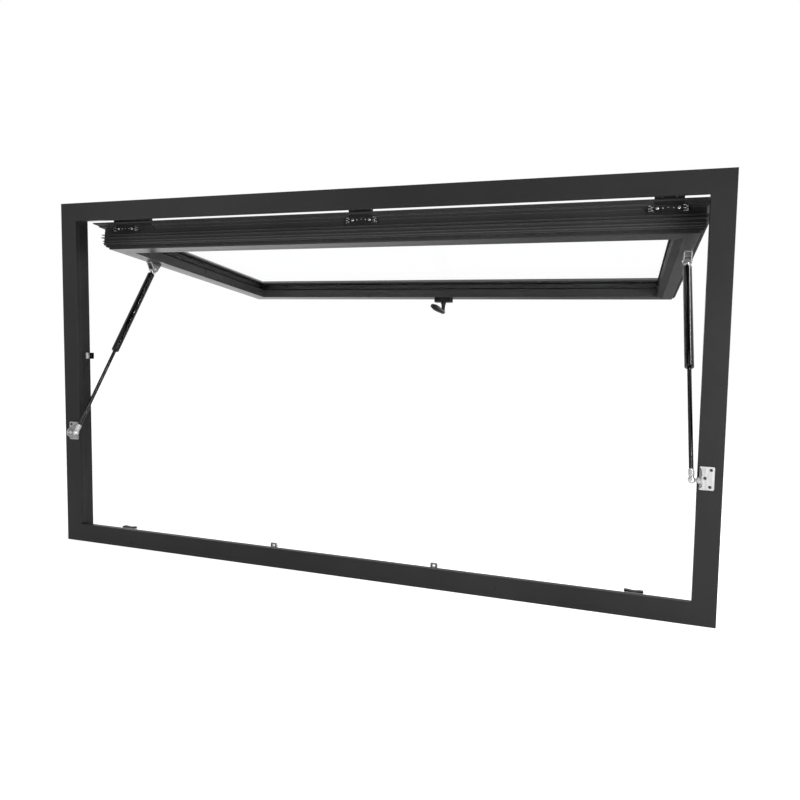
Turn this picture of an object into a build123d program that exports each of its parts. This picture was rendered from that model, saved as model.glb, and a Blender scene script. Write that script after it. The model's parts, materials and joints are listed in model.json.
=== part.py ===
"""Top-hung window of black aluminium, its sash swung out on head hinges and held by two gas struts.

X runs along the width, Y from the room outwards, Z up. The origin is the middle of the sill's underside.
An inset is a distance in from the window's outer edge, a depth is a distance outwards from the room face.
Sash pieces are drawn shut, then turned about the hinge axis with their planes.
"""

import os

from build123d import *

os.makedirs("parts", exist_ok=True)

# Frame, an L section: a flange on the room side and a leg through the wall
frame_width = 1800
frame_height = 1000
frame_depth = 76
face_width = 52
flange_depth = 14
leg_width = 24
wall = 2
edge_round = 1
fit = 0.3

# Sash, whose nose enters the frame's opening and whose rim laps the frame outside
open_angle = 83
nose_gap = 4
nose_recess = 12
nose_depth = 10
sash_depth = 74
sash_face = 54
body_inset = 45
rim_inset = 20
rim_tip = 3
rim_root = 15
rim_step = 3
rim_web = 4.5
lip_recess = 12
lip_thickness = 4
web_thickness = 4

# Fins along the sash's edge, placed by their share of the way from the nose to the hardware channel
fin_thickness = 2
fin_heights = {1: 6, 0.72: 7, 0.41: 3, 0.19: 2}

# Glazing: a double unit between gaskets, held by beads on the room side
bead_width = 20
bead_round = 3
bead_groove = 0.6
pane_thickness = 4
pane_space = 16
spacer_width = 10
gasket_thickness = 3
gasket_width = 8
glass_clearance = 6

# Seals in the rebate
seal_width = 4
seal_height = 8
seal_groove = 3
sash_seal_reach = 7
sash_seal_width = 4

# Hinges on the head
hinge_end_inset = 128
hinge_length = 92
hinge_arm = 66
hinge_knuckle = 31
hinge_barrel = 7
hinge_pin = 3
hinge_plate = 4
hinge_axis_depth = 104
hinge_axis_inset = 22
hinge_leaf_width = 14
hinge_arm_root = 5
hinge_slack = 3
left_arm_extra = 66
pin_clearance = 0.1

# Gas struts, one beside each jamb: a ball joint on the frame and an eye on the sash
strut_inset = 67
frame_ball_drop = 666
frame_ball_reach = 29
sash_pin_drop = 248
sash_pin_reach = 20
ball_radius = 5
ball_length = 8
stud_radius = 3.5
stud_collar = 6.5
collar_length = 8
socket_radius = 7.5
socket_wall = 2
socket_shoulder = 10
socket_neck = 5.8
socket_reach = 24
eye_radius = 9
eye_width = 14
eye_length = 13
eye_neck = 6.5
eye_reach = 20
cylinder_radius = 11
cylinder_length = 306
cylinder_wall = 1.5
cylinder_guide = 12
cylinder_bevel = 2
rod_radius = 5
rod_inside = 40

# Strut brackets: a plate with a flange on the jamb, a fork on the sash
bracket_plate = 3
bracket_width = 31
bracket_height = 52
bracket_edge = 3
bracket_boss = 13
bracket_round = 3
fork_gap = 15
fork_boss = 10
fork_pin = 4

# Handle on the bottom rail
handle_length = 73
handle_width = 28
handle_corner = 9
handle_plate = 16
handle_taper = 10
neck_height = 33
neck_foot = 10
neck_top = 6
neck_inside = 4
lever_length = 150
lever_thickness = 12
lever_root = 7
lever_belly = 9
lever_tip = 7
lever_lean = 2

# Keepers in the rebate and the rollers that run into them
keeper_long = 42
keeper_short = 18
keeper_corner = 173
keeper_share = 0.13
keeper_rise = 55
keeper_depth = 18
keeper_height = 21
keeper_plate = 3
keeper_lip = 5
keeper_post = 5
keeper_notch = 5
keeper_bar = 4
roller_radius = 7
roller_height = 10
roller_ahead = 38

# Places that follow from these sizes
front = -frame_depth / 2
nose_inset = face_width + nose_gap
sight_inset = nose_inset + sash_face
bead_inset = sight_inset - bead_width
sash_back = nose_recess + sash_depth
rim_depth = sash_back - rim_root
rim_middle = (rim_inset + body_inset) / 2
rim_middle_depth = (sash_back - rim_tip + rim_depth) / 2
lip_back = sash_back - lip_recess
lip_front = lip_back - lip_thickness
outer_pane_depth = lip_front - gasket_thickness - pane_thickness
inner_pane_depth = outer_pane_depth - pane_space - pane_thickness
bead_depth = inner_pane_depth - gasket_thickness
pane_inset = bead_inset + glass_clearance
shoulder_depth = nose_recess + nose_depth
channel_depth = rim_depth - hinge_leaf_width - 2 * fin_thickness
keeper_start = frame_depth - keeper_depth
keeper_spacing_long = frame_width / 2 - keeper_corner
keeper_spacing_short = keeper_share * frame_width
hinge_spacing = frame_width / 2 - hinge_end_inset
frame_ball_height = frame_height - frame_ball_drop
strut_x = frame_width / 2 - strut_inset
hinge_y = front + hinge_axis_depth
hinge_z = frame_height - hinge_axis_inset

sash_turn = Location((0, hinge_y, hinge_z), (open_angle, 0, 0)) * Location((0, -hinge_y, -hinge_z))

window_plane = Plane((0, front, frame_height / 2), x_dir=(1, 0, 0), z_dir=(0, 1, 0))

# Across each side, local x is the inset and local y the depth
side_planes = {
    "top": Plane((0, front, frame_height), x_dir=(0, 0, -1), z_dir=(1, 0, 0)),
    "bottom": Plane((0, front, 0), x_dir=(0, 0, 1), z_dir=(-1, 0, 0)),
    "left": Plane((-frame_width / 2, front, frame_height / 2), x_dir=(1, 0, 0), z_dir=(0, 0, 1)),
    "right": Plane((frame_width / 2, front, frame_height / 2), x_dir=(-1, 0, 0), z_dir=(0, 0, -1)),
}
side_lengths = {"top": frame_width, "bottom": frame_width, "left": frame_height, "right": frame_height}


def on_sash(plane):
    """The plane as it lies on the opened sash."""
    return Plane(sash_turn * plane.location)


def save(piece, name):
    piece.part.label = name
    export_step(piece.part, f"parts/{name}.step")


def box_profile(low, high, mode=Mode.ADD):
    """A rectangle between two (inset, depth) corners."""
    with Locations(((low[0] + high[0]) / 2, (low[1] + high[1]) / 2)):
        Rectangle(high[0] - low[0], high[1] - low[1], mode=mode)


def mitred_bar(plane, length, outline, chambers, corners, radius, slots=()):
    """A hollow extrusion along one side, some corners rounded, mitred at both ends, its rim slotted at spans."""
    with BuildPart() as bar:
        with BuildSketch(plane) as profile:
            with BuildLine():
                Polyline(outline, close=True)
            make_face()
            fillet([profile.vertices().sort_by_distance(corner)[0] for corner in corners], radius)
            for low, high in chambers:
                box_profile(low, high, Mode.SUBTRACT)
        extrude(amount=length / 2, both=True)
        for way in (1, -1):
            corner = plane.from_local_coords((0, 0, way * length / 2))
            split(bisect_by=Plane(corner, z_dir=plane.x_dir + plane.z_dir * way), keep=Keep.BOTTOM)
        for start, end in slots:
            with BuildSketch(plane.offset(start - fit)):
                box_profile((rim_inset + rim_web, rim_depth), (body_inset, sash_back))
            extrude(amount=end - start + 2 * fit, mode=Mode.SUBTRACT)
    return bar


def ring(plane, outer_inset, inner_inset, low, high):
    """A square-cornered loop between two insets and two depths."""
    with BuildPart() as loop:
        with BuildSketch(plane.offset(low)):
            Rectangle(frame_width - 2 * outer_inset, frame_height - 2 * outer_inset)
            Rectangle(frame_width - 2 * inner_inset, frame_height - 2 * inner_inset, mode=Mode.SUBTRACT)
        extrude(amount=high - low)
    return loop


def pane(depth):
    with BuildPart() as sheet:
        with BuildSketch(on_sash(window_plane).offset(depth)):
            Rectangle(frame_width - 2 * pane_inset, frame_height - 2 * pane_inset)
        extrude(amount=pane_thickness)
    return sheet


# Frame
groove_inset = (face_width + leg_width) / 2 + seal_width / 2
frame_outline = [
    (0, 0),
    (face_width, 0),
    (face_width, flange_depth),
    (groove_inset + seal_width, flange_depth),
    (groove_inset + seal_width, flange_depth - seal_groove),
    (groove_inset, flange_depth - seal_groove),
    (groove_inset, flange_depth),
    (leg_width, flange_depth),
    (leg_width, frame_depth),
    (0, frame_depth),
]
frame_corners = [
    (0, 0),
    (face_width, 0),
    (face_width, flange_depth),
    (leg_width, frame_depth),
    (0, frame_depth),
]
leg_middle = (flange_depth + frame_depth) / 2
frame_chambers = [
    ((wall, wall), (leg_width - wall, leg_middle - wall)),
    ((wall, leg_middle + wall), (leg_width - wall, frame_depth - wall)),
    ((leg_width, wall), (face_width - wall, flange_depth - seal_groove - wall)),
]
frame_names = {
    "top": "frame_head",
    "bottom": "frame_sill",
    "left": "frame_left_jamb",
    "right": "frame_right_jamb",
}
for side, name in frame_names.items():
    plane = side_planes[side]
    bar = mitred_bar(plane, side_lengths[side], frame_outline, frame_chambers, frame_corners, edge_round)
    save(bar, name)

frame_seal = ring(
    window_plane,
    groove_inset + fit,
    groove_inset + seal_width - fit,
    flange_depth - seal_groove + fit,
    flange_depth - seal_groove + seal_height,
)
save(frame_seal, "frame_seal")


# Sash
def fin(share, height):
    """Corners of a thin fin standing out from the sash's edge."""
    middle = shoulder_depth + share * (channel_depth - shoulder_depth)
    start = middle + fin_thickness / 2
    end = middle - fin_thickness / 2
    top = body_inset - height
    return [(body_inset, start), (top, start), (top, end), (body_inset, end)]


sash_outline = [
    (nose_inset, nose_recess),
    (bead_inset - bead_groove, nose_recess),
    (bead_inset, nose_recess + bead_groove),
    (bead_inset, lip_front),
    (sight_inset, lip_front),
    (sight_inset, lip_back),
    (bead_inset, sash_back),
    (rim_inset, sash_back),
    (rim_inset, sash_back - rim_tip),
    (rim_middle, rim_middle_depth + rim_step / 2),
    (rim_middle, rim_middle_depth - rim_step / 2),
    (body_inset, rim_depth),
]
for share, height in fin_heights.items():
    sash_outline += fin(share, height)
sash_outline += [(body_inset, shoulder_depth), (nose_inset, shoulder_depth)]
sash_corners = [(nose_inset, nose_recess), (rim_inset, sash_back), (rim_inset, sash_back - rim_tip)]

chamber_edge = bead_inset - wall
break_low = (shoulder_depth + channel_depth) / 2
sash_chambers = [
    ((nose_inset + wall, nose_recess + wall), (chamber_edge, break_low - web_thickness / 2)),
    ((body_inset + wall, break_low + web_thickness / 2), (chamber_edge, channel_depth - web_thickness / 2)),
    ((body_inset + wall, channel_depth + web_thickness / 2), (chamber_edge, sash_back - 2 * wall)),
]
sash_names = {
    "top": "sash_top_rail",
    "bottom": "sash_bottom_rail",
    "left": "sash_left_stile",
    "right": "sash_right_stile",
}
hinge_places = {"left": -hinge_spacing, "middle": 0, "right": hinge_spacing}
arm_ends = {"left": hinge_arm / 2 + left_arm_extra, "middle": hinge_arm / 2, "right": hinge_arm / 2}
arm_spans = [(place - hinge_arm / 2, place + arm_ends[name]) for name, place in hinge_places.items()]
for side, name in sash_names.items():
    plane = on_sash(side_planes[side])
    slots = arm_spans if side == "top" else ()
    bar = mitred_bar(plane, side_lengths[side], sash_outline, sash_chambers, sash_corners, edge_round, slots)
    save(bar, name)

sash_seal = ring(
    on_sash(window_plane),
    nose_inset - sash_seal_reach,
    nose_inset - fit,
    shoulder_depth - fit - sash_seal_width,
    shoulder_depth - fit,
)
save(sash_seal, "sash_seal")

# Beads, gaskets and the glass unit
bead_outline = [
    (bead_inset + fit, nose_recess + bead_groove),
    (bead_inset + fit + bead_groove, nose_recess),
    (sight_inset, nose_recess),
    (sight_inset, bead_depth),
    (bead_inset + fit, bead_depth),
]
bead_hollow_low = (bead_inset + fit + wall, nose_recess + bead_round + wall)
bead_hollow_high = (sight_inset - wall, bead_depth - wall)
for side in side_planes:
    plane = on_sash(side_planes[side])
    hollow = [(bead_hollow_low, bead_hollow_high)]
    bead = mitred_bar(plane, side_lengths[side], bead_outline, hollow, [(sight_inset, nose_recess)], bead_round)
    save(bead, f"{side}_glazing_bead")

gasket_inset = sight_inset - gasket_width
for name, depth in (("inner_gasket", bead_depth), ("outer_gasket", lip_front - gasket_thickness)):
    gasket = ring(on_sash(window_plane), gasket_inset, sight_inset, depth, depth + gasket_thickness)
    save(gasket, name)

save(pane(inner_pane_depth), "inner_pane")
save(pane(outer_pane_depth), "outer_pane")
spacer = ring(
    on_sash(window_plane),
    pane_inset + fit,
    pane_inset + fit + spacer_width,
    inner_pane_depth + pane_thickness,
    outer_pane_depth,
)
save(spacer, "glass_spacer")


# Hinges
def frame_leaf(place):
    """Plate on the head's outer face, a lug and one knuckle in the middle, with the pin through it."""
    plane = side_planes["top"].offset(place)
    plate_low = edge_round
    plate_high = rim_inset - hinge_slack
    with BuildPart() as leaf:
        with BuildSketch(plane):
            box_profile((plate_low, frame_depth), (plate_high, frame_depth + hinge_plate))
        extrude(amount=hinge_length / 2, both=True)
        with BuildSketch(plane):
            box_profile((plate_low + hinge_slack, frame_depth), (plate_high, frame_depth + hinge_plate))
            with Locations((hinge_axis_inset, hinge_axis_depth)):
                Circle(hinge_barrel)
            make_hull()
        extrude(amount=hinge_knuckle / 2, both=True)
        with BuildSketch(plane):
            with Locations((hinge_axis_inset, hinge_axis_depth)):
                Circle(hinge_pin)
        extrude(amount=hinge_arm / 2, both=True)
    return leaf


def sash_leaf(place, arm_end):
    """Plate in the sash's hardware channel, with an arm through the rim that forks round the middle knuckle."""
    plane = on_sash(side_planes["top"]).offset(place)
    plate_top = body_inset - hinge_plate
    plate_end = rim_depth - fin_thickness / 2
    plate_start = plate_end - hinge_leaf_width
    room = 2 * hinge_barrel
    with BuildPart() as leaf:
        with BuildSketch(plane):
            box_profile((plate_top, plate_start), (body_inset, plate_end))
        extrude(amount=hinge_length / 2, both=True)
        with BuildSketch(plane.offset(-hinge_arm / 2)):
            box_profile((plate_top, plate_end - hinge_arm_root), (body_inset, plate_end))
            with Locations((hinge_axis_inset, hinge_axis_depth)):
                Circle(hinge_barrel)
            make_hull()
        extrude(amount=hinge_arm / 2 + arm_end)
        with BuildSketch(plane):
            with Locations((hinge_axis_inset, hinge_axis_depth)):
                Rectangle(2 * room, 2 * room)
        extrude(amount=hinge_knuckle / 2 + fit, both=True, mode=Mode.SUBTRACT)
        with BuildSketch(plane):
            with Locations((hinge_axis_inset, hinge_axis_depth)):
                Circle(hinge_pin + pin_clearance)
        extrude(amount=hinge_arm, both=True, mode=Mode.SUBTRACT)
    return leaf


for name, place in hinge_places.items():
    save(frame_leaf(place), f"{name}_hinge_frame_leaf")
    save(sash_leaf(place, arm_ends[name]), f"{name}_hinge_sash_leaf")


# Strut brackets
def frame_bracket(way):
    """Plate on the jamb's room face, a round-ended flange near its inner edge and a ball stud on the flange."""
    edge_x = way * (frame_width / 2 - face_width + bracket_edge)
    middle_x = edge_x + way * bracket_width / 2
    reach_y = front - frame_ball_reach
    stud_root = Plane((edge_x, reach_y, frame_ball_height), z_dir=(-way, 0, 0))
    stud_length = abs(edge_x) - strut_x
    with BuildPart() as bracket:
        with BuildSketch(Plane((middle_x, front, frame_ball_height), x_dir=(1, 0, 0), z_dir=(0, -1, 0))):
            RectangleRounded(bracket_width, bracket_height, bracket_round)
        extrude(amount=bracket_plate)
        with BuildSketch(Plane((edge_x, front, frame_ball_height), x_dir=(0, -1, 0), z_dir=(way, 0, 0))):
            with Locations((bracket_plate / 2, 0)):
                Rectangle(bracket_plate, bracket_height - 2 * bracket_round)
            with Locations((frame_ball_reach, 0)):
                Circle(bracket_boss)
            make_hull()
        extrude(amount=bracket_plate)
        with BuildSketch(stud_root):
            Circle(stud_collar)
        extrude(amount=collar_length)
        with BuildSketch(stud_root):
            Circle(stud_radius)
        extrude(amount=stud_length)
        with BuildSketch(stud_root.offset(stud_length - ball_length / 2)):
            Circle(ball_radius)
        extrude(amount=ball_length)
    return bracket


def sash_pin(way):
    """Middle of the fork's pin on the opened sash."""
    shut = Location((way * strut_x, front + nose_recess - sash_pin_reach, frame_height - sash_pin_drop))
    return (sash_turn * shut).position


def sash_bracket(way):
    """Fork on the stile's room face: a plate, two round-ended cheeks and the pin through them."""
    face_y = front + nose_recess
    level = frame_height - sash_pin_drop
    plate_plane = Plane((way * strut_x, face_y, level), x_dir=(1, 0, 0), z_dir=(0, -1, 0))
    with BuildPart() as bracket:
        with BuildSketch(on_sash(plate_plane)):
            RectangleRounded(fork_gap + 2 * bracket_plate, bracket_height, bracket_round)
        extrude(amount=bracket_plate)
        for cheek in (-1, 1):
            cheek_x = way * strut_x + cheek * fork_gap / 2
            with BuildSketch(on_sash(Plane((cheek_x, face_y, level), x_dir=(0, -1, 0), z_dir=(cheek, 0, 0)))):
                with Locations((bracket_plate / 2, 0)):
                    Rectangle(bracket_plate, bracket_height - 2 * bracket_round)
                with Locations((sash_pin_reach, 0)):
                    Circle(fork_boss)
                make_hull()
            extrude(amount=bracket_plate)
        with BuildSketch(Plane(sash_pin(way), z_dir=(1, 0, 0))):
            Circle(fork_pin)
        extrude(amount=(fork_gap + bracket_plate) / 2, both=True)
    return bracket


# Struts
def ball_socket(plane, way):
    """The rod's end: a housing open towards the stud, rounded at its end, with a neck along the strut."""
    half_length = ball_length / 2 + fit + socket_wall
    across = Plane(plane.origin, x_dir=plane.z_dir, z_dir=(way, 0, 0))
    with BuildPart() as socket:
        with BuildSketch(across):
            Circle(socket_radius)
            with Locations((socket_shoulder / 2, 0)):
                Rectangle(socket_shoulder, 2 * socket_radius)
        extrude(amount=half_length, both=True)
        with BuildSketch(plane.offset(socket_shoulder)):
            Circle(socket_neck)
        extrude(amount=socket_reach - socket_shoulder)
        with BuildSketch(across.offset(socket_wall - half_length)):
            Circle(ball_radius + pin_clearance)
        extrude(amount=2 * half_length, mode=Mode.SUBTRACT)
    return socket


def strut_eye(plane):
    """The cylinder's end: a flat eye round the fork's pin, with a neck along the strut."""
    across = Plane(plane.origin, x_dir=-plane.z_dir, z_dir=(1, 0, 0))
    with BuildPart() as eye:
        with BuildSketch(across):
            Circle(eye_radius)
            with Locations((eye_length / 2, 0)):
                Rectangle(eye_length, 2 * eye_radius)
            Circle(fork_pin + pin_clearance, mode=Mode.SUBTRACT)
        extrude(amount=eye_width / 2, both=True)
        with BuildSketch(plane.offset(-eye_length)):
            Circle(eye_neck)
        extrude(amount=eye_length - eye_reach)
    return eye


for name, way in (("left", -1), ("right", 1)):
    save(frame_bracket(way), f"{name}_frame_bracket")
    save(sash_bracket(way), f"{name}_sash_bracket")

    frame_end = Vector(way * strut_x, front - frame_ball_reach, frame_ball_height)
    sash_end = sash_pin(way)
    strut_length = (sash_end - frame_end).length
    low_plane = Plane(frame_end, x_dir=(1, 0, 0), z_dir=sash_end - frame_end)
    high_plane = low_plane.offset(strut_length)
    save(ball_socket(low_plane, way), f"{name}_rod_socket")
    save(strut_eye(high_plane), f"{name}_cylinder_socket")

    cylinder_start = strut_length - eye_reach - cylinder_length
    with BuildPart() as rod:
        with BuildSketch(low_plane.offset(socket_reach)):
            Circle(rod_radius)
        extrude(amount=cylinder_start - socket_reach + rod_inside)
    save(rod, f"{name}_strut_rod")

    with BuildPart() as cylinder:
        with BuildSketch(low_plane.offset(cylinder_start)):
            Circle(cylinder_radius)
        extrude(amount=cylinder_length)
        chamfer(cylinder.edges().filter_by(GeomType.CIRCLE), cylinder_bevel)
        with BuildSketch(low_plane.offset(cylinder_start + cylinder_guide)):
            Circle(cylinder_radius - cylinder_wall)
        extrude(amount=cylinder_length - 2 * cylinder_guide, mode=Mode.SUBTRACT)
        with BuildSketch(low_plane.offset(cylinder_start)):
            Circle(rod_radius + pin_clearance)
        extrude(amount=cylinder_guide, mode=Mode.SUBTRACT)
    save(cylinder, f"{name}_strut_cylinder")

# Handle, drawn looking at the sash from the room, its lever pointing at the hinges
rail_middle = (nose_inset + sight_inset) / 2
handle_plane = on_sash(Plane((0, front + nose_recess, rail_middle), x_dir=(1, 0, 0), z_dir=(0, -1, 0)))
with BuildPart() as handle_base:
    with BuildSketch(handle_plane):
        RectangleRounded(handle_length, handle_width, handle_corner)
    extrude(amount=handle_plate, taper=handle_taper)
save(handle_base, "handle_base")

with BuildPart() as handle_lever:
    with BuildSketch(handle_plane.offset(handle_plate + neck_height).rotated((-lever_lean, 0, 0))):
        Circle(lever_root)
        with Locations((0, lever_length / 2)):
            Circle(lever_belly)
        with Locations((0, lever_length)):
            Circle(lever_tip)
        make_hull()
    extrude(amount=lever_thickness)
    with BuildSketch(handle_plane.offset(handle_plate)):
        Circle(neck_foot)
    with BuildSketch(handle_plane.offset(handle_plate + neck_height + neck_inside)):
        Circle(neck_top)
    loft()
save(handle_lever, "handle_lever")


# Locking pieces
def keeper(side, places, length, cut_low, cut_high):
    """Strikers on the frame's leg: a plate with an upright lip, cut out between its ends from low to high."""
    lip_start = keeper_start + keeper_plate
    lip_foot = lip_start + 2 * keeper_lip
    outline = [
        (leg_width, keeper_start),
        (leg_width, frame_depth),
        (leg_width + keeper_plate, frame_depth),
        (leg_width + keeper_plate, lip_foot),
        (leg_width + keeper_height, lip_start + keeper_lip),
        (leg_width + keeper_height, lip_start),
        (leg_width + keeper_plate, lip_start),
        (leg_width + keeper_plate, keeper_start),
    ]
    with BuildPart() as striker:
        for place in places:
            with BuildSketch(side_planes[side].offset(place)):
                with BuildLine():
                    Polyline(outline, close=True)
                make_face()
            extrude(amount=length / 2, both=True)
            with BuildSketch(side_planes[side].offset(place)):
                box_profile((leg_width + cut_low, lip_start), (leg_width + cut_high, lip_foot))
            extrude(amount=length / 2 - keeper_post, both=True, mode=Mode.SUBTRACT)
    return striker


notch = (keeper_height - keeper_notch, keeper_height)
gate = (keeper_height / 2, keeper_height - keeper_bar)
save(keeper("bottom", [keeper_spacing_long], keeper_long, *notch), "left_sill_keeper")
save(keeper("bottom", [-keeper_spacing_long], keeper_long, *notch), "right_sill_keeper")
short_places = [keeper_spacing_short, -keeper_spacing_short]
save(keeper("bottom", short_places, keeper_short, *gate), "small_sill_keepers")
save(keeper("left", [keeper_rise], keeper_short, *gate), "left_jamb_keeper")
save(keeper("right", [-keeper_rise], keeper_short, *gate), "right_jamb_keeper")

roller_depth = (channel_depth + rim_depth) / 2
with BuildPart() as lock_rollers:
    for way in (-1, 1):
        for spacing in (keeper_spacing_long, keeper_spacing_short):
            place = way * (spacing + roller_ahead)
            shut_plane = Plane((place, front + roller_depth, body_inset), x_dir=(1, 0, 0), z_dir=(0, 0, -1))
            with BuildSketch(on_sash(shut_plane)):
                Circle(roller_radius)
            extrude(amount=roller_height)
save(lock_rollers, "lock_rollers")
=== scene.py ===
"""Looks of a top-hung window: coated aluminium, glass, seals, steel hardware and a white studio."""

import json
import math

import bpy
from mathutils import Euler, Matrix, Vector


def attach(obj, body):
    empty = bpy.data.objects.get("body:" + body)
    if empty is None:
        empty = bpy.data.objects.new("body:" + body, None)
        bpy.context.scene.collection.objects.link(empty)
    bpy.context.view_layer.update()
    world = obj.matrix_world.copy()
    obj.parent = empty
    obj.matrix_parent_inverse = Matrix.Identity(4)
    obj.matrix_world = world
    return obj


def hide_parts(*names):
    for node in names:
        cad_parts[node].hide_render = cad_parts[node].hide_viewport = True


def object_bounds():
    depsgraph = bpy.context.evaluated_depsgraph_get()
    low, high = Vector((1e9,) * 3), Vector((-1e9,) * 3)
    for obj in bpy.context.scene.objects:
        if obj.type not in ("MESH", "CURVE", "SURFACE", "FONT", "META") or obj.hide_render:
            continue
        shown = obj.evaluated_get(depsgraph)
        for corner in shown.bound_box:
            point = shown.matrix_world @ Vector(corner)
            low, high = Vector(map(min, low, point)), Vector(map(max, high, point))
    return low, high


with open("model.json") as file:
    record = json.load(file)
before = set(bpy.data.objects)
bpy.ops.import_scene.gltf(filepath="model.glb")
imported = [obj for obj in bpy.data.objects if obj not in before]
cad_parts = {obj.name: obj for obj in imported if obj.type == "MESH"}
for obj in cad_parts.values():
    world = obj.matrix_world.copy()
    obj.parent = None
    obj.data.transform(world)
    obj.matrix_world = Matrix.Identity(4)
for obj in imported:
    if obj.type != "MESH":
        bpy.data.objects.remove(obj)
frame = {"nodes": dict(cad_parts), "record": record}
cad_low, cad_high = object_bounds()
BODY = "root"

# Camera that stood in the room, to the right of the window's middle
CAMERA_PLACE = (0.6795, -1.587, 0.6435)
CAMERA_YAW = math.radians(17.54)
CAMERA_PITCH = math.radians(-4.10)
CAMERA_ROLL = math.radians(0.93)
CAMERA_LENS = 29.588
CAMERA_SENSOR = 36.0
CAMERA_SHIFT = (-0.0168, -0.0263)

MILLIMETRE = 0.001


# Node helpers
def new_material(name):
    """A material with one principled shader, and its node tree."""
    material = bpy.data.materials.new(name)
    material.use_nodes = True
    tree = material.node_tree
    return material, tree, tree.nodes["Principled BSDF"]


def add_node(tree, kind, **settings):
    """A node of that kind with its properties and input sockets set by name."""
    node = tree.nodes.new(kind)
    for key, value in settings.items():
        if hasattr(node, key):
            setattr(node, key, value)
        else:
            node.inputs[key.replace("_", " ").title()].default_value = value
    return node


def object_noise(tree, scale, detail=4.0, stretch=(1, 1, 1)):
    """Noise on the object's own coordinates, with its grain stretched."""
    place = add_node(tree, "ShaderNodeTexCoord")
    turn = add_node(tree, "ShaderNodeMapping")
    turn.inputs["Scale"].default_value = stretch
    noise = add_node(tree, "ShaderNodeTexNoise", scale=scale, detail=detail)
    tree.links.new(place.outputs["Object"], turn.inputs["Vector"])
    tree.links.new(turn.outputs["Vector"], noise.inputs["Vector"])
    return noise.outputs["Fac"]


def ramp(tree, source, low, high, low_value, high_value):
    """Colours blended between two positions of the source."""
    node = add_node(tree, "ShaderNodeValToRGB")
    first, last = node.color_ramp.elements
    first.position = low
    last.position = high
    first.color = (*low_value, 1)
    last.color = (*high_value, 1)
    tree.links.new(source, node.inputs["Fac"])
    return node.outputs["Color"]


def span(tree, source, low, high):
    """The source mapped from 0..1 to low..high."""
    node = add_node(tree, "ShaderNodeMapRange")
    node.inputs["To Min"].default_value = low
    node.inputs["To Max"].default_value = high
    tree.links.new(source, node.inputs["Value"])
    return node.outputs["Result"]


def soft_edges(tree, radius):
    """A normal that rounds sharp edges by the radius."""
    node = add_node(tree, "ShaderNodeBevel", samples=6)
    node.inputs["Radius"].default_value = radius
    return node.outputs["Normal"]


def edge_mask(tree, rounded, low, high):
    """White where the rounded normal leaves the flat one, on the edges."""
    flat = add_node(tree, "ShaderNodeNewGeometry")
    dot = add_node(tree, "ShaderNodeVectorMath", operation="DOT_PRODUCT")
    tree.links.new(rounded, dot.inputs[0])
    tree.links.new(flat.outputs["Normal"], dot.inputs[1])
    node = add_node(tree, "ShaderNodeMapRange")
    node.inputs["From Min"].default_value = high
    node.inputs["From Max"].default_value = low
    tree.links.new(dot.outputs["Value"], node.inputs["Value"])
    return node.outputs["Result"]


def blend(tree, share, first, second):
    """Two colours mixed by a share."""
    node = add_node(tree, "ShaderNodeMix", data_type="RGBA")
    tree.links.new(share, node.inputs["Factor"])
    for socket, value in ((node.inputs["A"], first), (node.inputs["B"], second)):
        if isinstance(value, tuple):
            socket.default_value = (*value, 1)
        else:
            tree.links.new(value, socket)
    return node.outputs["Result"]


def bump(tree, height, strength, distance, normal=None):
    """A normal from a pattern of heights."""
    node = add_node(tree, "ShaderNodeBump")
    node.inputs["Strength"].default_value = strength
    node.inputs["Distance"].default_value = distance
    tree.links.new(height, node.inputs["Height"])
    if normal is not None:
        tree.links.new(normal, node.inputs["Normal"])
    return node.outputs["Normal"]


# Finishes
def black_coating(name, tone_low, tone_high, rough_low, rough_high, specular, edge_highlight_tone=None):
    """Fine-textured black powder coat, with a painted edge highlight, paler along the edges, where an
    edge highlight tone is given.
    """
    material, tree, shader = new_material(name)
    colour = ramp(tree, object_noise(tree, 4.0), 0.3, 0.7, tone_low, tone_high)
    rounded = None
    if edge_highlight_tone:
        rounded = soft_edges(tree, 1.2 * MILLIMETRE)
        # Paler colour along the rounded edges: a painted edge highlight.
        colour = blend(tree, edge_mask(tree, rounded, 0.82, 0.99), colour, edge_highlight_tone)
    tree.links.new(colour, shader.inputs["Base Color"])
    rough = span(tree, object_noise(tree, 25.0), rough_low, rough_high)
    tree.links.new(rough, shader.inputs["Roughness"])
    grain = object_noise(tree, 1400.0, detail=3.0)
    tree.links.new(bump(tree, grain, 0.12, 0.1 * MILLIMETRE, rounded), shader.inputs["Normal"])
    shader.inputs["Specular IOR Level"].default_value = specular
    return material


def seal_rubber():
    """Matt black rubber with a dusty bloom."""
    material, tree, shader = new_material("seal_rubber")
    tone = ramp(tree, object_noise(tree, 60.0), 0.35, 0.75, (0.008, 0.008, 0.008), (0.02, 0.0195, 0.019))
    tree.links.new(tone, shader.inputs["Base Color"])
    tree.links.new(span(tree, object_noise(tree, 90.0), 0.6, 0.8), shader.inputs["Roughness"])
    tree.links.new(bump(tree, object_noise(tree, 700.0), 0.2, 0.1 * MILLIMETRE), shader.inputs["Normal"])
    shader.inputs["Specular IOR Level"].default_value = 0.25
    return material


def window_glass():
    """Clear float glass with a breath of green and faint wiping marks."""
    material, tree, shader = new_material("window_glass")
    tone = ramp(tree, object_noise(tree, 2.0), 0.3, 0.7, (0.994, 0.998, 0.996), (0.998, 1.0, 0.999))
    tree.links.new(tone, shader.inputs["Base Color"])
    smears = object_noise(tree, 5.0, stretch=(1, 6, 1))
    tree.links.new(span(tree, smears, 0.0, 0.012), shader.inputs["Roughness"])
    shader.inputs["Transmission Weight"].default_value = 1.0
    shader.inputs["IOR"].default_value = 1.008
    return material


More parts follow.
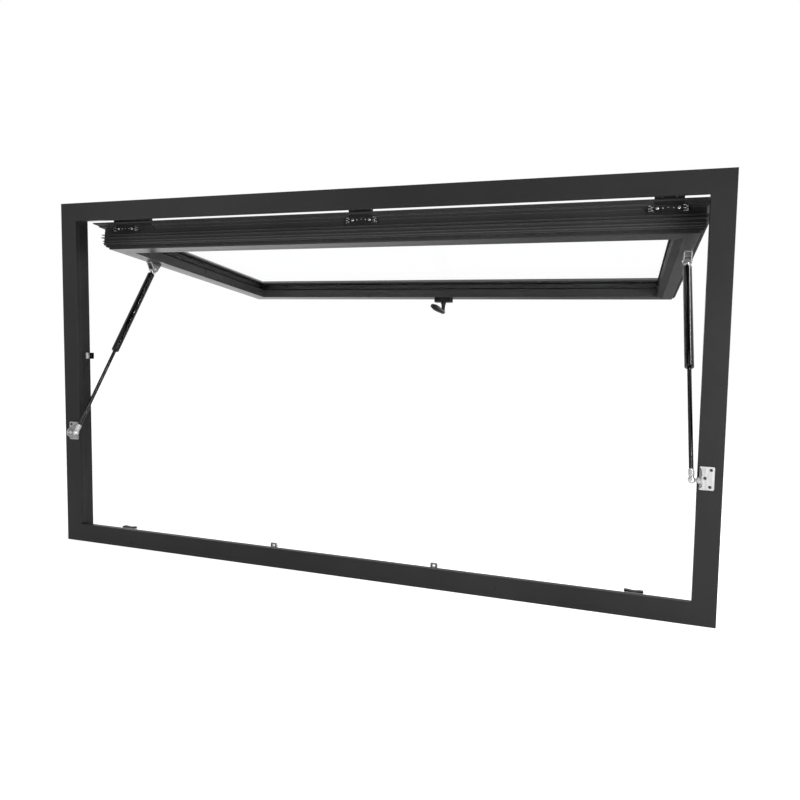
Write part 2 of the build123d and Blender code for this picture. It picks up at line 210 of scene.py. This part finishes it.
def metal(name, dark, pale, rough_low, rough_high, stretch, edge_highlight_tone, grain_strength, metallic=1.0):
    """Brushed metal with its edges painted paler as a painted highlight; plated zinc is less metallic and
    scatters more light.
    """
    material, tree, shader = new_material(name)
    rounded = soft_edges(tree, 0.6 * MILLIMETRE)
    brushed = object_noise(tree, 350.0, stretch=stretch)
    tone = ramp(tree, brushed, 0.3, 0.7, dark, pale)
    # Paler tone on the edges: a painted edge highlight.
    painted_edge_highlight = edge_mask(tree, rounded, 0.8, 0.99)
    tree.links.new(blend(tree, painted_edge_highlight, tone, edge_highlight_tone), shader.inputs["Base Color"])
    tree.links.new(span(tree, brushed, rough_low, rough_high), shader.inputs["Roughness"])
    grain = bump(tree, brushed, grain_strength, 0.08 * MILLIMETRE, rounded)
    tree.links.new(grain, shader.inputs["Normal"])
    shader.inputs["Metallic"].default_value = metallic
    return material


def black_gloss(name, tone_low, tone_high, rough_low, rough_high, specular):
    """Black lacquer or plastic with a soft orange peel and a painted highlight along its edges."""
    material, tree, shader = new_material(name)
    rounded = soft_edges(tree, 0.8 * MILLIMETRE)
    tone = ramp(tree, object_noise(tree, 30.0), 0.3, 0.7, tone_low, tone_high)
    painted_edge_highlight = edge_mask(tree, rounded, 0.82, 0.99)
    # A tone 2.2 times paler, painted on the edges as a highlight.
    pale = tuple(2.2 * part for part in tone_high)
    tree.links.new(blend(tree, painted_edge_highlight, tone, pale), shader.inputs["Base Color"])
    rough = span(tree, object_noise(tree, 40.0), rough_low, rough_high)
    tree.links.new(rough, shader.inputs["Roughness"])
    peel = object_noise(tree, 500.0, detail=2.0)
    tree.links.new(bump(tree, peel, 0.12, 0.08 * MILLIMETRE, rounded), shader.inputs["Normal"])
    shader.inputs["Specular IOR Level"].default_value = specular
    return material


# The metals' third colour is their painted edge highlight; the tone pairs are the finishes' own colours.
finishes = {
    "black_coating": black_coating(
        "black_coating", (0.0112, 0.0112, 0.0115), (0.015, 0.0148, 0.0147), 0.25, 0.33, 0.12
    ),
    "seal_rubber": seal_rubber(),
    "glass": window_glass(),
    "spacer_bar": metal("spacer_bar", (0.03,) * 3, (0.05,) * 3, 0.4, 0.55, (1, 1, 1), (0.08,) * 3, 0.1),
    "hinge_metal": black_gloss("hinge_metal", (0.013,) * 3, (0.019,) * 3, 0.4, 0.55, 0.1),
    "bracket_steel": metal(
        "bracket_steel", (0.24,) * 3, (0.35,) * 3, 0.4, 0.55, (1, 1, 0.15), (0.5,) * 3, 0.12
    ),
    "sash_bracket_metal": metal(
        "sash_bracket_metal", (0.26,) * 3, (0.4,) * 3, 0.3, 0.42, (1, 0.15, 1), (0.6,) * 3, 0.12
    ),
    "socket_steel": metal(
        "socket_steel", (0.4,) * 3, (0.56,) * 3, 0.18, 0.3, (1, 1, 1), (0.85,) * 3, 0.06
    ),
    "rod_chrome": black_gloss("rod_chrome", (0.003,) * 3, (0.005,) * 3, 0.06, 0.12, 0.3),
    "cylinder_black": black_gloss("cylinder_black", (0.002,) * 3, (0.0035,) * 3, 0.06, 0.12, 0.3),
    "keeper_steel": metal(
        "keeper_steel", (0.4,) * 3, (0.52,) * 3, 0.3, 0.45, (1, 1, 1), (0.55,) * 3, 0.1, metallic=0.6
    ),
    "handle_black": black_gloss("handle_black", (0.004,) * 3, (0.006,) * 3, 0.3, 0.42, 0.15),
}

# The sash and its beads wear the frame's black coat, painted about twice as light: painted light for
# their shaded faces. The sash copy adds a painted edge highlight.
SASH_TONES_PAINTED_LIGHTER = ((0.022, 0.022, 0.0225), (0.03, 0.0298, 0.0295))
sash_coating_painted_lighter = black_coating("sash_coating_painted_lighter", *SASH_TONES_PAINTED_LIGHTER, 0.25, 0.33, 0.12, (0.11,) * 3)
bead_coating_painted_lighter = black_coating("bead_coating_painted_lighter", *SASH_TONES_PAINTED_LIGHTER, 0.25, 0.33, 0.12)
dull_coating_painted_lighter = black_coating("dull_coating_painted_lighter", *SASH_TONES_PAINTED_LIGHTER, 0.5, 0.6, 0.05)
SASH_BARS = ("sash_top_rail", "sash_bottom_rail", "sash_left_stile", "sash_right_stile")

for subpart in frame["record"]["subparts"]:
    node = frame["nodes"][subpart["node"]]
    finish = finishes[subpart["material_slot"]]
    # Sash bars and glazing beads take the copies painted lighter.
    if subpart["node"] in SASH_BARS:
        finish = sash_coating_painted_lighter
    elif subpart["node"] == "right_glazing_bead":
        finish = dull_coating_painted_lighter
    elif subpart["node"].endswith("glazing_bead"):
        finish = bead_coating_painted_lighter
    node.data.materials.clear()
    node.data.materials.append(finish)


# Places on the window
FRONT = -38 * MILLIMETRE
TOP = 1000 * MILLIMETRE
HINGE_AXIS = Vector((0, 66 * MILLIMETRE, 978 * MILLIMETRE))
SASH_TURN = (
    Matrix.Translation(HINGE_AXIS)
    @ Matrix.Rotation(math.radians(83), 4, "X")
    @ Matrix.Translation(-HINGE_AXIS)
)
FACING_ROOM = Matrix.Rotation(math.pi / 2, 4, "X")
HINGES = {"left": -772, "middle": 0, "right": 772}
FACE_SHIFTS = {"left": 5, "middle": 1, "right": -2}
FACE_DEPTH = 68
FACE_INSET = 32
FACE_FOOT = 41
ARM_HALF = 33
LEFT_ARM_END = 99
STRUT_X = 833
BALL_HEIGHT = 334
BALL_REACH = 29

# Sizes of the small hardware, in millimetres
FORK_PAD = (30, 7, 10)
PAD_DEPTH = 92.5
PAD_INSET = 38
FACE_PLATE = (62, 14)
FIELD_SINK = 0.5
HINGE_SCREW_RADIUS = 4.2
SCREW_SPREAD = 24
RIVET = (1.6, 0.9)
RIVET_SPREAD = 12
SLOT_KEY = (4.5, 2, 0.8)
END_BLOCK = (11, 17)
TOOTH_ROWS = 5
BLOCK_SPREAD = 38.5

PLATE_X = 866.5
PLATE_WALL = 3
PLATE_SCREW_RADIUS = 3.2
PLATE_SCREWS = ((8.5, 19), (-3.5, 0.5), (7.2, -18.7))
COLLAR = (7.5, 9.5)
COLLAR_SHIFT = 18
BULB_RADIUS = 8
BULB_CAP = 6
SLEEVE_FOOT = 15
SLEEVE_LENGTH = 9
SLEEVE_FLARE = 1.15
PIN_REACH = 8
PIN_DROP = 248
PIN_HEAD = (5.5, 2.5)
PIN_HALF = 10.5

HANDLE_DEPTH = 12
HANDLE_HEIGHT = 83
HANDLE_BASE = (73, 28, 16)
BASE_CORNER = 9
BASE_RIM = 2.5
RIM_DROP = 0.01
RIM_ROUNDING = 2
LEVER_RADIUS = 8.5
LEVER_LENGTH = 150
LEVER_RISE = 55
LEVER_FLATNESS = 0.92
LEVER_ENDS = ((1.2, 3), (2, 2.2), (2.6, 1.2))
LEVER_BELLY = ((-45, 1.12), (0, 1.3), (40, 1.22))
NECK_RADIUS = 10
NECK_FOOT = 6
NECK_STEPS = ((4, 0.78), (16, 0.85), (10, 1.05))

KEEPER_DEPTH = 64
SILL_KEEPER_X = 727
SILL_STEP = 24
KEEPER_BODY = (42, 12, 12.5)
KEEPER_CAP = (44, 13, 3)
CAP_DIP = 1.4
DIP_HALF = 10
JAMB_KEEPER_X = 859
TIP_HEIGHT = 545.7
KEEPER_TIP = (8, 9.5, 18.6)


def at(x, y, z):
    """A shift by millimetres."""
    return Matrix.Translation(Vector((x, y, z)) * MILLIMETRE)


def sash_edge(x, depth, inset):
    """A place on the sash's top edge, its local Z pointing out of that edge."""
    return SASH_TURN @ Matrix.Translation((0, FRONT, TOP)) @ at(x, depth, -inset)


# Modelling helpers
def clear():
    """Leave edit mode with nothing selected."""
    if bpy.context.object and bpy.context.object.mode != "OBJECT":
        bpy.ops.object.mode_set(mode="OBJECT")
    bpy.ops.object.select_all(action="DESELECT")


def block(x, y, z):
    """A box of that size in millimetres, standing on the local origin."""
    clear()
    bpy.ops.mesh.primitive_cube_add(size=1, location=(0, 0, z * MILLIMETRE / 2))
    piece = bpy.context.object
    piece.scale = (x * MILLIMETRE, y * MILLIMETRE, z * MILLIMETRE)
    bpy.ops.object.transform_apply(location=True, scale=True)
    return piece


def pick(piece, kind, test):
    """Select the faces, edges or vertices that pass the test and stay in edit mode."""
    bpy.ops.object.mode_set(mode="EDIT")
    bpy.ops.mesh.select_mode(type=kind)
    bpy.ops.mesh.select_all(action="DESELECT")
    bpy.ops.object.mode_set(mode="OBJECT")
    mesh = piece.data
    for item in {"FACE": mesh.polygons, "EDGE": mesh.edges, "VERT": mesh.vertices}[kind]:
        item.select = bool(test(item))
    bpy.ops.object.mode_set(mode="EDIT")


def middle(piece, edge):
    """The middle of an edge."""
    first, second = (piece.data.vertices[index].co for index in edge.vertices)
    return (first + second) / 2


def runs_along(piece, edge, axis):
    """Whether an edge runs along that axis."""
    first, second = (piece.data.vertices[index].co for index in edge.vertices)
    return abs((second - first).normalized()[axis]) > 0.99


def looks_up(face):
    """Whether a face looks along local Z."""
    return face.normal.z > 0.9


def looks_to_room(face):
    """Whether a face looks against local Y, as the window's inner side does."""
    return face.normal.y < -0.9


def apply(piece, modifier):
    """Make a modifier's result the piece's own mesh."""
    bpy.context.view_layer.objects.active = piece
    bpy.ops.object.modifier_apply(modifier=modifier.name)


def round_edges(piece, width, segments=2):
    """Bevel every sharp edge."""
    clear()
    piece.select_set(True)
    bevel = piece.modifiers.new("edges", "BEVEL")
    bevel.width = width * MILLIMETRE
    bevel.segments = segments
    bevel.limit_method = "ANGLE"
    apply(piece, bevel)


def settle(piece, name, slot, place, replaced=()):
    """Put a finished piece in its place, give it its finish and let it ride with the window."""
    clear()
    piece.select_set(True)
    bpy.context.view_layer.objects.active = piece
    piece.name = name
    piece.matrix_world = place
    bpy.ops.object.transform_apply(location=True, rotation=True, scale=True)
    bpy.ops.object.shade_smooth_by_angle(angle=math.radians(35))
    piece.data.materials.clear()
    piece.data.materials.append(finishes[slot])
    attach(piece, BODY)
    for node in replaced:
        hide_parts(node)


def copy_of(master):
    """A copy with a mesh of its own."""
    clear()
    master.select_set(True)
    bpy.context.view_layer.objects.active = master
    bpy.ops.object.duplicate(linked=False)
    return bpy.context.object


def drop(piece):
    """Take a piece out of the scene."""
    clear()
    piece.select_set(True)
    bpy.ops.object.delete()


# Small hardware
def cross_screw():
    """A pan head of one millimetre radius with a cross recess."""
    clear()
    bpy.ops.mesh.primitive_cylinder_add(
        vertices=24, radius=MILLIMETRE, depth=0.5 * MILLIMETRE, location=(0, 0, 0.25 * MILLIMETRE)
    )
    head = bpy.context.object
    bpy.ops.object.transform_apply(location=True)
    pick(head, "FACE", looks_up)
    for step, rise in ((0.18, 0.14), (0.3, 0.08)):
        bpy.ops.mesh.inset(thickness=step * MILLIMETRE)
        bpy.ops.transform.translate(value=(0, 0, rise * MILLIMETRE))
    for size in ((1.1, 0.24, 0.5), (0.24, 1.1, 0.5)):
        cutter = block(*size)
        cutter.location.z = 0.4 * MILLIMETRE
        recess = head.modifiers.new("recess", "BOOLEAN")
        recess.operation = "DIFFERENCE"
        recess.object = cutter
        clear()
        head.select_set(True)
        apply(head, recess)
        drop(cutter)
    return head


def dome(radius, height):
    """A round cap on the local origin, its top along Z."""
    clear()
    bpy.ops.mesh.primitive_uv_sphere_add(segments=32, ring_count=16, radius=radius * MILLIMETRE)
    cap = bpy.context.object
    bpy.ops.object.mode_set(mode="EDIT")
    bpy.ops.mesh.select_all(action="SELECT")
    bpy.ops.mesh.bisect(plane_co=(0, 0, 0), plane_no=(0, 0, 1), clear_inner=True, use_fill=True)
    bpy.ops.mesh.select_all(action="SELECT")
    bpy.ops.transform.resize(value=(1, 1, height / radius), center_override=(0, 0, 0))
    clear()
    return cap


def serrated_block(width, height, depth, rows):
    """An end block whose face is cut into teeth."""
    piece = block(width, height, depth)
    pick(piece, "FACE", looks_up)
    bpy.ops.mesh.subdivide(number_cuts=rows - 1)
    size = height * MILLIMETRE

    def tooth(face):
        row = int((face.center.y / size + 0.5) * rows)
        side = face.center.x > 0
        return looks_up(face) and face.center.z > 0.9 * depth * MILLIMETRE and (row + side) % 2 == 0

    pick(piece, "FACE", tooth)
    bpy.ops.mesh.extrude_region_move(TRANSFORM_OT_translate={"value": (0, 0, 1.2 * MILLIMETRE)})
    clear()
    return piece


def arm_cover(start, end):
    """A thin ridged sheet in front of a hinge arm, which carries the rim's ridges on."""
    ridges = ((82.3, 23.8), (80.4, 27.4), (79.6, 26.2), (78.2, 29.4), (77.2, 28.4), (75.8, 31.6))
    rows = len(ridges) - 1
    clear()
    bpy.ops.mesh.primitive_grid_add(x_subdivisions=1, y_subdivisions=rows, size=1)
    sheet = bpy.context.object
    sheet.scale = ((end - start) * MILLIMETRE, MILLIMETRE, MILLIMETRE)
    sheet.location = ((start + end) / 2 * MILLIMETRE, 0, 0)
    bpy.ops.object.transform_apply(location=True, scale=True)
    levels = sorted({round(vertex.co.y, 7) for vertex in sheet.data.vertices}, reverse=True)
    for level, (depth, inset) in zip(levels, ridges):
        pick(sheet, "VERT", lambda vertex: abs(vertex.co.y - level) < 1e-6 and abs(vertex.co.z) < 1e-6)
        bpy.ops.transform.translate(value=(0, depth * MILLIMETRE - level, -inset * MILLIMETRE))
    clear()
    sheet.select_set(True)
    sheet_wall = sheet.modifiers.new("wall", "SOLIDIFY")
    sheet_wall.thickness = 0.8 * MILLIMETRE
    sheet_wall.offset = -1
    apply(sheet, sheet_wall)
    round_edges(sheet, 0.25)
    return sheet


screw = cross_screw()

for side, place in HINGES.items():
    end = LEFT_ARM_END if side == "left" else ARM_HALF
    cover = arm_cover(-ARM_HALF, end)
    settle(cover, f"{side}_hinge_arm_cover", "black_coating", sash_edge(place, 0, 0))

    pad = block(*FORK_PAD)
    round_edges(pad, 1)
    settle(pad, f"{side}_hinge_fork_pad", "seal_rubber", sash_edge(place, PAD_DEPTH, PAD_INSET))

    face = block(*FACE_PLATE, FACE_FOOT - FACE_INSET)
    pick(face, "FACE", looks_up)
    bpy.ops.mesh.inset(thickness=1.2 * MILLIMETRE)
    bpy.ops.transform.translate(value=(0, 0, -FIELD_SINK * MILLIMETRE))
    middle_x = place + FACE_SHIFTS[side]
    settle(face, f"{side}_hinge_face_plate", "hinge_metal", sash_edge(middle_x, FACE_DEPTH, FACE_FOOT))

    field = FACE_INSET + FIELD_SINK
    for number, way in enumerate((-1, 1)):
        spot = sash_edge(middle_x + way * SCREW_SPREAD, FACE_DEPTH, field)
        size = Matrix.Scale(HINGE_SCREW_RADIUS, 4)
        settle(copy_of(screw), f"{side}_hinge_screw_{number}", "socket_steel", spot @ size)
    for number, way in enumerate((-1, 1)):
        spot = sash_edge(middle_x + way * RIVET_SPREAD, FACE_DEPTH, field)
        settle(dome(*RIVET), f"{side}_hinge_rivet_{number}", "keeper_steel", spot)
    dash = block(*SLOT_KEY)
    round_edges(dash, 0.3)
    settle(dash, f"{side}_hinge_slot_key", "bracket_steel", sash_edge(middle_x, FACE_DEPTH + 1, field))
    for number, way in enumerate((-1, 1)):
        teeth = serrated_block(*END_BLOCK, FACE_FOOT - FACE_INSET, TOOTH_ROWS)
        spot = sash_edge(middle_x + way * BLOCK_SPREAD, FACE_DEPTH, FACE_FOOT)
        settle(teeth, f"{side}_hinge_end_block_{number}", "socket_steel", spot)


for side, way in (("left", -1), ("right", 1)):
    # Screws in the plate on the jamb, and the domed collar of its stud
    plate = Matrix.Translation((0, FRONT, 0)) @ at(way * PLATE_X, -PLATE_WALL, BALL_HEIGHT) @ FACING_ROOM
    for number, (across, up) in enumerate(PLATE_SCREWS):
        spot = plate @ at(way * across, up, 0) @ Matrix.Scale(PLATE_SCREW_RADIUS, 4)
        settle(copy_of(screw), f"{side}_frame_bracket_screw_{number}", "spacer_bar", spot)
    ball = Vector((way * STRUT_X * MILLIMETRE, FRONT - BALL_REACH * MILLIMETRE, BALL_HEIGHT * MILLIMETRE))
    inward = Matrix.Rotation(-way * math.pi / 2, 4, "Y")
    collar = Matrix.Translation(ball) @ at(way * COLLAR_SHIFT, 0, 0) @ inward
    settle(dome(*COLLAR), f"{side}_stud_collar", "socket_steel", collar)

    # Ball socket at the rod's end: a round bulb drawn out into a sleeve
    pin = SASH_TURN @ Vector(
        (way * STRUT_X * MILLIMETRE, FRONT - PIN_REACH * MILLIMETRE, TOP - PIN_DROP * MILLIMETRE)
    )
    along = Matrix.Translation(ball) @ (pin - ball).to_track_quat("Z", "Y").to_matrix().to_4x4()
    clear()
    bpy.ops.mesh.primitive_uv_sphere_add(segments=32, ring_count=20, radius=BULB_RADIUS * MILLIMETRE)
    bulb = bpy.context.object
    pick(bulb, "FACE", lambda face: face.center.z > BULB_CAP * MILLIMETRE)
    bpy.ops.mesh.extrude_region_move(TRANSFORM_OT_translate={"value": (0, 0, BULB_RADIUS * MILLIMETRE)})
    bpy.ops.transform.resize(
        value=(SLEEVE_FLARE, SLEEVE_FLARE, 0), center_override=(0, 0, SLEEVE_FOOT * MILLIMETRE)
    )
    bpy.ops.mesh.extrude_region_move(TRANSFORM_OT_translate={"value": (0, 0, SLEEVE_LENGTH * MILLIMETRE)})
    settle(bulb, f"{side}_ball_socket", "socket_steel", along, (f"{side}_rod_socket",))

    # Domed heads on the fork's pin
    for number, end in enumerate((-1, 1)):
        outward = Matrix.Rotation(end * math.pi / 2, 4, "Y")
        head = Matrix.Translation(pin) @ at(end * PIN_HALF, 0, 0) @ outward
        settle(dome(*PIN_HEAD), f"{side}_fork_pin_head_{number}", "socket_steel", head)

# Handle: a rounded base, and a slim lever drawn from a tube on a waisted neck
rail = SASH_TURN @ Matrix.Translation((0, FRONT, 0)) @ at(0, HANDLE_DEPTH, HANDLE_HEIGHT) @ FACING_ROOM
base = block(*HANDLE_BASE)
base_top = HANDLE_BASE[2]
pick(base, "EDGE", lambda edge: runs_along(base, edge, 2))
bpy.ops.mesh.bevel(offset=BASE_CORNER * MILLIMETRE, segments=6)
pick(base, "FACE", looks_up)
bpy.ops.mesh.inset(thickness=BASE_RIM * MILLIMETRE)
# The field inside the rim lies a hair lower, so that only the rim is rounded
bpy.ops.transform.translate(value=(0, 0, -RIM_DROP * MILLIMETRE))
pick(base, "EDGE", lambda edge: middle(base, edge).z > (base_top - RIM_DROP / 2) * MILLIMETRE)
bpy.ops.mesh.bevel(offset=RIM_ROUNDING * MILLIMETRE, segments=3)
settle(base, "handle_rounded_base", "handle_black", rail, ("handle_base",))

bpy.ops.mesh.primitive_cylinder_add(
    vertices=32,
    radius=LEVER_RADIUS * MILLIMETRE,
    depth=LEVER_LENGTH * MILLIMETRE,
    rotation=(math.pi / 2, 0, 0),
)
lever = bpy.context.object
bpy.ops.object.transform_apply(rotation=True)
for way in (-1, 1):
    pick(lever, "FACE", lambda face: face.normal.y * way > 0.9)
    for step, reach in LEVER_ENDS:
        bpy.ops.mesh.inset(thickness=step * MILLIMETRE)
        bpy.ops.transform.translate(value=(0, way * reach * MILLIMETRE, 0))
# A fuller belly between the tip and the neck
for cut, share in LEVER_BELLY:
    bpy.ops.mesh.select_all(action="SELECT")
    bpy.ops.mesh.bisect(plane_co=(0, cut * MILLIMETRE, 0), plane_no=(0, 1, 0))
    bpy.ops.transform.resize(value=(share, 1, share), center_override=(0, cut * MILLIMETRE, 0))
bpy.ops.mesh.select_all(action="SELECT")
bpy.ops.transform.resize(value=(1, 1, LEVER_FLATNESS), center_override=(0, 0, 0))
bpy.ops.transform.translate(value=(0, LEVER_LENGTH / 2 * MILLIMETRE, LEVER_RISE * MILLIMETRE))
clear()
bpy.ops.mesh.primitive_cylinder_add(
    vertices=32,
    radius=NECK_RADIUS * MILLIMETRE,
    depth=NECK_FOOT * MILLIMETRE,
    location=(0, 0, (base_top + NECK_FOOT / 2) * MILLIMETRE),
)
neck = bpy.context.object
bpy.ops.object.transform_apply(location=True)
pick(neck, "FACE", looks_up)
for rise, share in NECK_STEPS:
    bpy.ops.mesh.extrude_region_move(TRANSFORM_OT_translate={"value": (0, 0, rise * MILLIMETRE)})
    bpy.ops.transform.resize(value=(share, share, 1))
clear()
neck.select_set(True)
lever.select_set(True)
bpy.context.view_layer.objects.active = lever
bpy.ops.object.join()
settle(lever, "handle_slim_lever", "handle_black", rail, ("handle_lever",))

# Long keepers on the sill: a zinc body with a dark cap that dips between its ends
for side, way in (("left", -1), ("right", 1)):
    spot = Matrix.Translation((0, FRONT, 0)) @ at(way * SILL_KEEPER_X, KEEPER_DEPTH, SILL_STEP)
    body = block(*KEEPER_BODY)
    pick(body, "FACE", looks_to_room)
    bpy.ops.mesh.inset(thickness=1.5 * MILLIMETRE)
    bpy.ops.transform.translate(value=(0, -0.6 * MILLIMETRE, 0))
    round_edges(body, 0.4)
    settle(body, f"{side}_keeper_body", "keeper_steel", spot, (f"{side}_sill_keeper",))
    cap = block(*KEEPER_CAP)
    pick(cap, "FACE", looks_up)
    bpy.ops.mesh.subdivide(number_cuts=4)
    dip, rim = DIP_HALF * MILLIMETRE, (KEEPER_CAP[2] - 0.1) * MILLIMETRE
    pick(cap, "VERT", lambda vertex: abs(vertex.co.x) < dip and vertex.co.z > rim)
    bpy.ops.transform.translate(value=(0, 0, -CAP_DIP * MILLIMETRE))
    round_edges(cap, 0.3)
    settle(cap, f"{side}_keeper_cap", "handle_black", spot @ at(0, 0, KEEPER_BODY[2]))

    # Dark tip on the jamb's keeper
    tip = block(*KEEPER_TIP)
    pick(tip, "FACE", looks_to_room)
    bpy.ops.mesh.inset(thickness=1.5 * MILLIMETRE)
    bpy.ops.transform.translate(value=(0, -0.5 * MILLIMETRE, 0))
    round_edges(tip, 0.4)
    spot = Matrix.Translation((0, FRONT, 0)) @ at(way * JAMB_KEEPER_X, KEEPER_DEPTH, TIP_HEIGHT)
    settle(tip, f"{side}_jamb_keeper_tip", "handle_black", spot)

drop(screw)


# Studio
def white_for_the_lens(tree, glow, ordinary):
    """The glow for camera, mirror and see-through rays, and the ordinary input for the rest."""
    path = add_node(tree, "ShaderNodeLightPath")
    share = path.outputs["Is Camera Ray"]
    for kind in ("Is Glossy Ray", "Is Transmission Ray"):
        larger = add_node(tree, "ShaderNodeMath", operation="MAXIMUM")
        tree.links.new(share, larger.inputs[0])
        tree.links.new(path.outputs[kind], larger.inputs[1])
        share = larger.outputs["Value"]
    mix = add_node(tree, "ShaderNodeMixShader")
    tree.links.new(share, mix.inputs["Fac"])
    tree.links.new(ordinary, mix.inputs[1])
    tree.links.new(glow, mix.inputs[2])
    return mix.outputs["Shader"]


def white_world():
    """White all round to the lens, and softer as a light."""
    world = bpy.data.worlds.new("white_room")
    bpy.context.scene.world = world
    world.use_nodes = True
    tree = world.node_tree
    ambient = tree.nodes["Background"]
    ambient.inputs["Color"].default_value = (1, 1, 1, 1)
    ambient.inputs["Strength"].default_value = 0.5
    seen = add_node(tree, "ShaderNodeBackground")
    seen.inputs["Color"].default_value = (1, 1, 1, 1)
    seen.inputs["Strength"].default_value = 1.0
    surface = white_for_the_lens(tree, seen.outputs["Background"], ambient.outputs["Background"])
    tree.links.new(surface, tree.nodes["World Output"].inputs["Surface"])


def pale_floor():
    """A wide white floor that takes the window's soft shadow."""
    clear()
    bpy.ops.mesh.primitive_plane_add(size=40, location=(0, 0, cad_low.z))
    floor = bpy.context.object
    floor.name = "studio_floor"
    material, tree, shader = new_material("studio_floor")
    shader.inputs["Base Color"].default_value = (0.9, 0.9, 0.9, 1)
    shader.inputs["Roughness"].default_value = 0.9
    shader.inputs["Specular IOR Level"].default_value = 0.1
    shader.inputs["Emission Color"].default_value = (1, 1, 1, 1)
    shader.inputs["Emission Strength"].default_value = 0.58
    floor.data.materials.append(material)


def graded_card():
    """A card on the floor outside, bright at the left and dark at the right, seen only in reflections."""
    clear()
    bpy.ops.mesh.primitive_plane_add(size=1, location=(0, 3.2, cad_low.z + 0.02))
    card = bpy.context.object
    card.name = "graded_card"
    card.scale = (8, 4.4, 1)
    bpy.ops.object.transform_apply(location=True, scale=True)
    material, tree, shader = new_material("graded_card")
    place = add_node(tree, "ShaderNodeTexCoord")
    across = add_node(tree, "ShaderNodeSeparateXYZ")
    tree.links.new(place.outputs["Object"], across.inputs["Vector"])
    fall = add_node(tree, "ShaderNodeMapRange")
    fall.inputs["From Min"].default_value = -2.6
    fall.inputs["From Max"].default_value = 0.2
    fall.inputs["To Min"].default_value = 1.75
    fall.inputs["To Max"].default_value = 0.14
    tree.links.new(across.outputs["X"], fall.inputs["Value"])
    tree.links.new(fall.outputs["Result"], shader.inputs["Emission Strength"])
    shader.inputs["Base Color"].default_value = (0, 0, 0, 1)
    shader.inputs["Emission Color"].default_value = (1, 1, 1, 1)
    card.data.materials.append(material)
    card.visible_camera = False
    card.visible_diffuse = False
    card.visible_transmission = False
    card.visible_shadow = False


def softbox(name, place, aim, size, power):
    """A large area lamp that points at the aim."""
    lamp = bpy.data.lights.new(name, "AREA")
    lamp.shape = "RECTANGLE"
    lamp.size, lamp.size_y = size
    lamp.energy = power
    light = bpy.data.objects.new(name, lamp)
    bpy.context.scene.collection.objects.link(light)
    light.location = place
    light.rotation_euler = (Vector(aim) - Vector(place)).to_track_quat("-Z", "Y").to_euler()


def photo_camera():
    """The camera in the room."""
    camera = bpy.data.objects.new("camera", bpy.data.cameras.new("camera"))
    bpy.context.scene.collection.objects.link(camera)
    facing = Euler((math.pi / 2 + CAMERA_PITCH, 0, CAMERA_YAW)).to_matrix()
    camera.location = CAMERA_PLACE
    camera.rotation_euler = (facing @ Matrix.Rotation(CAMERA_ROLL, 3, "Z")).to_euler()
    camera.data.sensor_width = CAMERA_SENSOR
    camera.data.lens = CAMERA_LENS
    camera.data.shift_x, camera.data.shift_y = CAMERA_SHIFT
    bpy.context.scene.camera = camera


white_world()
pale_floor()
graded_card()
softbox("key_softbox", (2.6, -2.4, 0.4), (0.8, 0, 0.15), (1.8, 1.2), 120)
softbox("fill_softbox", (-2.2, -2.6, 1.6), (0, 0, 0.5), (1.6, 1.6), 10)
softbox("strip_softbox", (1.95, -0.2, 2.35), (0.833, 0.15, 0.65), (2.4, 0.08), 40)
photo_camera()
bpy.context.scene.view_settings.view_transform = "Standard"
